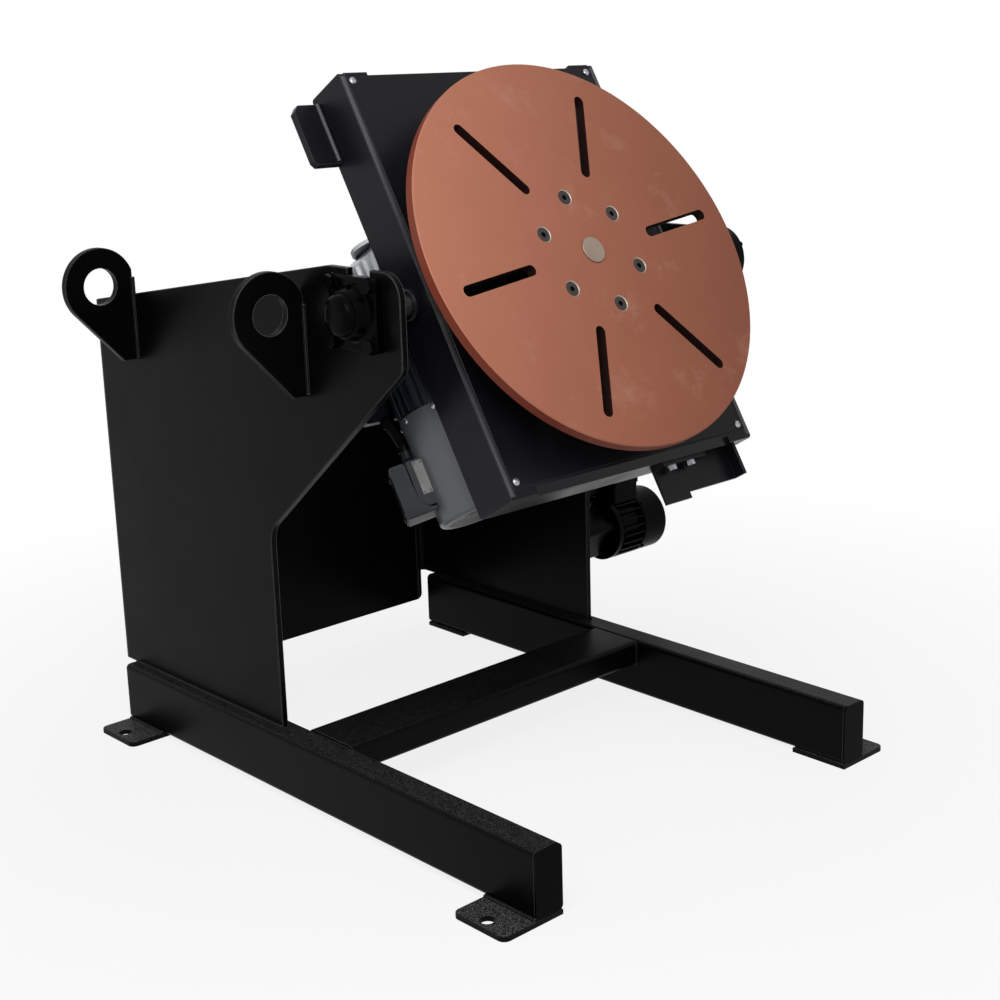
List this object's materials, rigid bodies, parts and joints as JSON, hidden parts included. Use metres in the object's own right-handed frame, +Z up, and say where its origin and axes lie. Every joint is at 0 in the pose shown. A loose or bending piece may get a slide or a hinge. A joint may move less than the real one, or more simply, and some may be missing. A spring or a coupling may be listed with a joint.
{
  "type": "welding positioner",
  "caption": "Welding positioner: a floor frame carries a motor-tilted box whose slotted round table is turned by a worm and gear drive without limit.",
  "frame": {"origin": "on the floor at the middle of the four anchor holes in the foot plates", "axes": "+X from the column with the flange bearing to the column with the tilt drive, -Y the front that the table faces, +Z up"},
  "size_m": [1.03, 1.085, 1.1212],
  "materials": {
    "frame_paint": "gloss black enamel on steel",
    "box_paint": "dark enamel on steel, half gloss",
    "ear_paint": "gloss black enamel on steel",
    "bracket_paint": "dark enamel on steel",
    "table_face": "red-brown rust-proof film on turned steel",
    "bright_screws": "zinc plated steel",
    "black_bolts": "steel bolts painted over with the frame",
    "machined_steel": "turned and ground steel",
    "wheel_steel": "machined steel",
    "wheel_bronze": "machined bronze",
    "housing_iron": "cast iron, painted black",
    "bearing_iron": "cast iron, painted black",
    "case_iron": "cast iron, painted black",
    "tube_paint": "gloss black enamel on steel tube",
    "gear_case_alloy": "die-cast aluminium, bead blasted",
    "motor_alloy": "cast aluminium, painted dark grey",
    "tilt_motor_alloy": "cast aluminium, painted black",
    "cowl_paint": "blue-grey enamel on sheet steel",
    "tilt_cowl_paint": "black enamel on sheet steel",
    "terminal_alloy": "cast aluminium, painted blue-grey",
    "tilt_terminal_alloy": "cast aluminium, painted black",
    "rotor_steel": "laminated steel on a ground shaft",
    "brush_holder": "cast brass with a carbon face",
    "pad_rubber": "moulded rubber"
  },
  "bodies": {
    "frame": {"left_leg": "frame_paint", "right_leg": "frame_paint", "leg_caps": "frame_paint", "left_front_foot": "frame_paint", "right_front_foot": "frame_paint", "left_rear_foot": "frame_paint", "right_rear_foot": "frame_paint", "left_front_lug": "frame_paint", "right_front_lug": "frame_paint", "left_rear_lug": "frame_paint", "right_rear_lug": "frame_paint", "cross_member": "frame_paint", "left_column": "frame_paint", "right_column": "frame_paint", "rear_panel": "frame_paint", "tilt_stop": "frame_paint", "stop_pad": "pad_rubber", "bearing_housing": "bearing_iron", "bearing_bolts": "black_bolts", "tilt_gear_case": "case_iron", "tilt_case_cover": "case_iron", "tilt_case_bolts": "black_bolts", "first_stage_case": "case_iron", "drive_tube": "tube_paint", "tilt_motor": "tilt_motor_alloy", "tilt_cowl": "tilt_cowl_paint", "tilt_terminal_box": "tilt_terminal_alloy"},
    "tilt_box": {"box_side_left": "box_paint", "box_side_right": "box_paint", "top_rail": "box_paint", "bottom_rail": "box_paint", "front_cover": "box_paint", "cover_screws": "bright_screws", "spindle_carrier": "box_paint", "spindle_housing": "housing_iron", "rear_plate": "box_paint", "left_trunnion": "machined_steel", "right_trunnion": "machined_steel", "stop_ear": "ear_paint", "lower_bracket": "bracket_paint", "bracket_bolts": "bright_screws", "earth_brush": "brush_holder", "bearing_inner_ring": "machined_steel", "tilt_wheel": "wheel_steel", "rotation_gear_case": "gear_case_alloy", "rotation_motor": "motor_alloy", "rotation_cowl": "cowl_paint", "terminal_box": "terminal_alloy", "terminal_lid": "terminal_alloy"},
    "table": {"table_disc": "table_face", "table_bolts": "bright_screws", "spindle": "machined_steel", "main_gear": "machined_steel", "earth_ring": "machined_steel"},
    "pinion": {"pinion_shaft": "machined_steel", "rotation_wheel": "wheel_bronze"},
    "rotation_rotor": {"rotation_rotor": "rotor_steel"},
    "inclined_shaft": {"inclined_shaft": "machined_steel", "first_stage_wheel": "wheel_bronze"},
    "tilt_rotor": {"tilt_rotor": "rotor_steel"}
  },
  "joints": [
    {"name": "tilt", "type": "hinge", "parent": "frame", "child": "tilt_box", "pos_m": [0, -0.172, 0.796], "axis": [1, 0, 0], "range_deg": [-59.1, 30.9]},
    {"name": "table_turn", "type": "hinge", "parent": "tilt_box", "child": "table", "pos_m": [0, -0.28061, 0.85599], "axis": [0, -0.8581, 0.5135], "continuous": true},
    {"name": "pinion_turn", "type": "hinge", "parent": "tilt_box", "child": "pinion", "pos_m": [-0.122, -0.14334, 0.84388], "axis": [0, -0.8581, 0.5135], "continuous": true},
    {"name": "rotation_motor_turn", "type": "hinge", "parent": "tilt_box", "child": "rotation_rotor", "pos_m": [-0.186, -0.08411, 0.73839], "axis": [0, -0.5135, -0.8581], "continuous": true},
    {"name": "inclined_shaft_turn", "type": "hinge", "parent": "frame", "child": "inclined_shaft", "pos_m": [0.385, 0.1733, 0.27716], "axis": [0, -0.554, 0.8325], "range_deg": [-177.3, 92.7]},
    {"name": "tilt_motor_turn", "type": "hinge", "parent": "frame", "child": "tilt_rotor", "pos_m": [0.43, 0.14, 0.255], "axis": [1, 0, 0], "range_deg": [-2781, 5319]}
  ],
  "couplings": [
    {"joint": "pinion_turn", "follows": "table_turn", "ratio": -3},
    {"joint": "rotation_motor_turn", "follows": "table_turn", "ratio": 90},
    {"joint": "inclined_shaft_turn", "follows": "tilt", "ratio": 3},
    {"joint": "tilt_motor_turn", "follows": "tilt", "ratio": -90}
  ]
}
